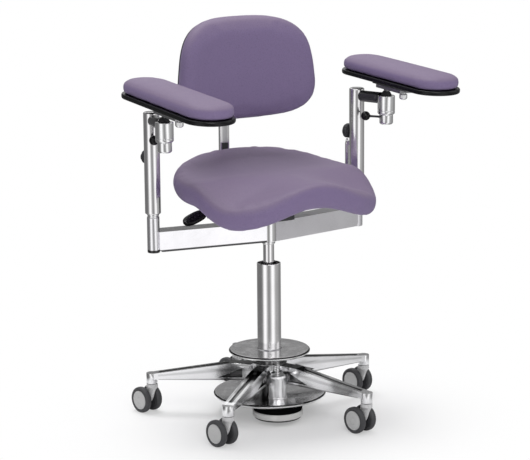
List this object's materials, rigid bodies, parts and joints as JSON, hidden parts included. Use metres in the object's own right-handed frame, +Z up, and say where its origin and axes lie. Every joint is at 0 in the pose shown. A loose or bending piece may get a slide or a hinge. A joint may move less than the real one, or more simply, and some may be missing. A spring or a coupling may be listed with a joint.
{
  "type": "operating stool",
  "caption": "Operating stool on a castor star base with two foot discs, a saddle seat with a backrest and adjustable arm rests on posts",
  "frame": {"origin": "on the floor, under the middle of the whole object's box. The column axis stands 5.3 mm from it to the user's right and 12.7 mm to the front", "axes": "+X is the seated user's left, -Y is the front, where the user faces, and +Z is up"},
  "size_m": [0.6912, 0.6035, 0.904],
  "materials": {
    "polished_steel": "polished",
    "satin_steel": "satin",
    "disc_steel": "satin",
    "cast_alloy": "polished",
    "black_plastic": "matte",
    "grey_plastic": "matte",
    "castor_wheel": "matte",
    "sole_rubber": "matte",
    "spring_steel": "satin",
    "dark_enamel": "satin",
    "seat_board_wood": "matte",
    "upholstery": "satin"
  },
  "bodies": {
    "base": {"star_base": "cast_alloy", "guide_column": "polished_steel", "column_bush": "black_plastic", "piston_rod": "polished_steel"},
    "height_pedal": {"upper_disc": "disc_steel", "cover_tube": "polished_steel", "disc_pin": "polished_steel", "disc_spring": "spring_steel"},
    "brake": {"lower_disc": "disc_steel", "brake_cylinder": "satin_steel", "brake_foot": "black_plastic", "brake_ring": "grey_plastic", "brake_sole": "sole_rubber"},
    "castor_1": {"castor_fork_1": "grey_plastic"},
    "castor_1_wheels": {"castor_wheels_1": "castor_wheel"},
    "castor_2": {"castor_fork_2": "grey_plastic"},
    "castor_2_wheels": {"castor_wheels_2": "castor_wheel"},
    "castor_3": {"castor_fork_3": "grey_plastic"},
    "castor_3_wheels": {"castor_wheels_3": "castor_wheel"},
    "castor_4": {"castor_fork_4": "grey_plastic"},
    "castor_4_wheels": {"castor_wheels_4": "castor_wheel"},
    "castor_5": {"castor_fork_5": "grey_plastic"},
    "castor_5_wheels": {"castor_wheels_5": "castor_wheel"},
    "lift": {"lift_tube": "polished_steel", "lift_end_cap": "black_plastic"},
    "carrier": {"carrier_hub": "polished_steel", "right_crossbar": "polished_steel", "left_crossbar": "satin_steel", "tilt_housing": "dark_enamel"},
    "tilt_lever": {"tilt_lever": "black_plastic"},
    "seat": {"seat_plate": "satin_steel", "seat_board": "seat_board_wood", "seat_cushion": "upholstery", "back_arm": "dark_enamel", "back_sleeve": "black_plastic"},
    "back_stem": {"back_stem": "polished_steel"},
    "backrest": {"back_shell": "black_plastic", "back_cushion": "upholstery"},
    "right_post": {"right_inner_post": "polished_steel"},
    "right_arm": {"right_post_tube": "polished_steel", "right_lock_rod": "polished_steel", "right_arm_barrel": "polished_steel"},
    "right_clamp_knob": {"right_clamp_knob": "black_plastic"},
    "right_clamp_lever": {"right_clamp_lever": "polished_steel"},
    "right_dome": {"right_ball_dome": "black_plastic"},
    "right_rail": {"right_pad_rail": "satin_steel"},
    "right_rail_knob": {"right_rail_knob": "polished_steel"},
    "right_pad": {"right_pad_plate": "black_plastic", "right_pad_cushion": "upholstery"},
    "left_post": {"left_inner_post": "polished_steel"},
    "left_arm": {"left_post_tube": "polished_steel", "left_lock_rod": "polished_steel", "left_arm_barrel": "polished_steel"},
    "left_clamp_knob": {"left_clamp_knob": "black_plastic"},
    "left_clamp_lever": {"left_clamp_lever": "polished_steel"},
    "left_dome": {"left_ball_dome": "black_plastic"},
    "left_rail": {"left_pad_rail": "satin_steel"},
    "left_rail_knob": {"left_rail_knob": "polished_steel"},
    "left_pad": {"left_pad_plate": "black_plastic", "left_pad_cushion": "upholstery"}
  },
  "joints": [
    {"name": "height_pedal_press", "type": "slide", "parent": "base", "child": "height_pedal", "axis": [0, 0, 1], "range_m": [-0.008, 0], "stiffness_N_per_m": 3000, "springref_m": 0.01, "deforming": ["disc_spring"]},
    {"name": "brake_press", "type": "slide", "parent": "base", "child": "brake", "axis": [0, 0, 1], "range_m": [-0.0105, 0], "stiffness_N_per_m": 3000, "springref_m": 0.04},
    {"name": "castor_1_swivel", "type": "hinge", "parent": "base", "child": "castor_1", "pos_m": [0.26433, 0.00143, 0.0713], "axis": [0, 0, 1], "continuous": true},
    {"name": "castor_1_roll", "type": "hinge", "parent": "castor_1", "child": "castor_1_wheels", "pos_m": [0.26036, 0.02185, 0.03], "axis": [-0.9816, -0.1908, 0], "continuous": true},
    {"name": "castor_2_swivel", "type": "hinge", "parent": "base", "child": "castor_2", "pos_m": [0.06458, 0.2481, 0.0713], "axis": [0, 0, 1], "continuous": true},
    {"name": "castor_2_roll", "type": "hinge", "parent": "castor_2", "child": "castor_2_wheels", "pos_m": [0.06061, 0.26852, 0.03], "axis": [-0.9816, -0.1908, 0], "continuous": true},
    {"name": "castor_3_swivel", "type": "hinge", "parent": "base", "child": "castor_3", "pos_m": [-0.23174, 0.13435, 0.0713], "axis": [0, 0, 1], "continuous": true},
    {"name": "castor_3_roll", "type": "hinge", "parent": "castor_3", "child": "castor_3_wheels", "pos_m": [-0.23571, 0.15477, 0.03], "axis": [-0.9816, -0.1908, 0], "continuous": true},
    {"name": "castor_4_swivel", "type": "hinge", "parent": "base", "child": "castor_4", "pos_m": [-0.21513, -0.18262, 0.0713], "axis": [0, 0, 1], "continuous": true},
    {"name": "castor_4_roll", "type": "hinge", "parent": "castor_4", "child": "castor_4_wheels", "pos_m": [-0.2191, -0.1622, 0.03], "axis": [-0.9816, -0.1908, 0], "continuous": true},
    {"name": "castor_5_swivel", "type": "hinge", "parent": "base", "child": "castor_5", "pos_m": [0.09146, -0.26477, 0.0713], "axis": [0, 0, 1], "continuous": true},
    {"name": "castor_5_roll", "type": "hinge", "parent": "castor_5", "child": "castor_5_wheels", "pos_m": [0.08749, -0.24435, 0.03], "axis": [-0.9816, -0.1908, 0], "continuous": true},
    {"name": "seat_lift", "type": "slide", "parent": "base", "child": "lift", "axis": [0, 0, 1], "range_m": [-0.038, 0.09]},
    {"name": "seat_swivel", "type": "hinge", "parent": "lift", "child": "carrier", "pos_m": [-0.0053, -0.0127, 0.404], "axis": [0, 0, 1], "continuous": true},
    {"name": "tilt_lever_turn", "type": "hinge", "parent": "carrier", "child": "tilt_lever", "pos_m": [-0.0653, 0.0253, 0.469], "axis": [1, 0, 0], "range_deg": [-12, 12]},
    {"name": "seat_tilt", "type": "hinge", "parent": "carrier", "child": "seat", "pos_m": [-0.0053, -0.0167, 0.481], "axis": [1, 0, 0], "range_deg": [-4, 4]},
    {"name": "backrest_height", "type": "slide", "parent": "seat", "child": "back_stem", "axis": [0, 0, 1], "range_m": [-0.02, 0.045]},
    {"name": "backrest_tilt", "type": "hinge", "parent": "back_stem", "child": "backrest", "pos_m": [-0.0053, 0.1673, 0.745], "axis": [1, 0, 0], "range_deg": [-15, 8]},
    {"name": "right_arm_height", "type": "slide", "parent": "carrier", "child": "right_post", "axis": [0, 0, 1], "range_m": [0, 0.05]},
    {"name": "right_arm_turn", "type": "hinge", "parent": "right_post", "child": "right_arm", "pos_m": [-0.2752, 0.032, 0.4895], "axis": [0, 0, 1], "range_deg": [-60, 20]},
    {"name": "right_clamp_knob_turn", "type": "hinge", "parent": "right_arm", "child": "right_clamp_knob", "pos_m": [-0.27231, 0.04926, 0.612], "axis": [0.165, 0.9863, 0], "continuous": true},
    {"name": "right_clamp_lever_turn", "type": "hinge", "parent": "right_arm", "child": "right_clamp_lever", "pos_m": [-0.28956, -0.05381, 0.6609], "axis": [0, 0, 1], "range_deg": [-20, 20]},
    {"name": "right_pad_swivel", "type": "hinge", "parent": "right_arm", "child": "right_dome", "pos_m": [-0.28956, -0.05381, 0.7044], "axis": [0, 0, 1], "range_deg": [-10, 15]},
    {"name": "right_pad_tilt", "type": "hinge", "parent": "right_dome", "child": "right_rail", "pos_m": [-0.28956, -0.05381, 0.7124], "axis": [1, 0, 0], "range_deg": [-8, 8]},
    {"name": "right_rail_knob_turn", "type": "hinge", "parent": "right_rail", "child": "right_rail_knob", "pos_m": [-0.28956, -0.12127, 0.7167], "axis": [0, -0.0698, 0.9976], "continuous": true},
    {"name": "right_pad_slide", "type": "slide", "parent": "right_rail", "child": "right_pad", "axis": [0, 0.9976, 0.0698], "range_m": [-0.025, 0.025]},
    {"name": "left_arm_height", "type": "slide", "parent": "carrier", "child": "left_post", "axis": [0, 0, 1], "range_m": [-0.012, 0.038]},
    {"name": "left_arm_turn", "type": "hinge", "parent": "left_post", "child": "left_arm", "pos_m": [0.2646, 0.032, 0.5018], "axis": [0, 0, 1], "range_deg": [-20, 60]},
    {"name": "left_clamp_knob_turn", "type": "hinge", "parent": "left_arm", "child": "left_clamp_knob", "pos_m": [0.25957, 0.04876, 0.6243], "axis": [-0.2874, 0.9578, 0], "continuous": true},
    {"name": "left_clamp_lever_turn", "type": "hinge", "parent": "left_arm", "child": "left_clamp_lever", "pos_m": [0.2896, -0.05133, 0.6732], "axis": [0, 0, 1], "range_deg": [-20, 20]},
    {"name": "left_pad_swivel", "type": "hinge", "parent": "left_arm", "child": "left_dome", "pos_m": [0.2896, -0.05133, 0.7167], "axis": [0, 0, 1], "range_deg": [-15, 10]},
    {"name": "left_pad_tilt", "type": "hinge", "parent": "left_dome", "child": "left_rail", "pos_m": [0.2896, -0.05133, 0.7247], "axis": [1, 0, 0], "range_deg": [-8, 8]},
    {"name": "left_rail_knob_turn", "type": "hinge", "parent": "left_rail", "child": "left_rail_knob", "pos_m": [0.2896, -0.11871, 0.73018], "axis": [0, -0.0523, 0.9986], "continuous": true},
    {"name": "left_pad_slide", "type": "slide", "parent": "left_rail", "child": "left_pad", "axis": [0, 0.9986, 0.0523], "range_m": [-0.025, 0.025]}
  ]
}
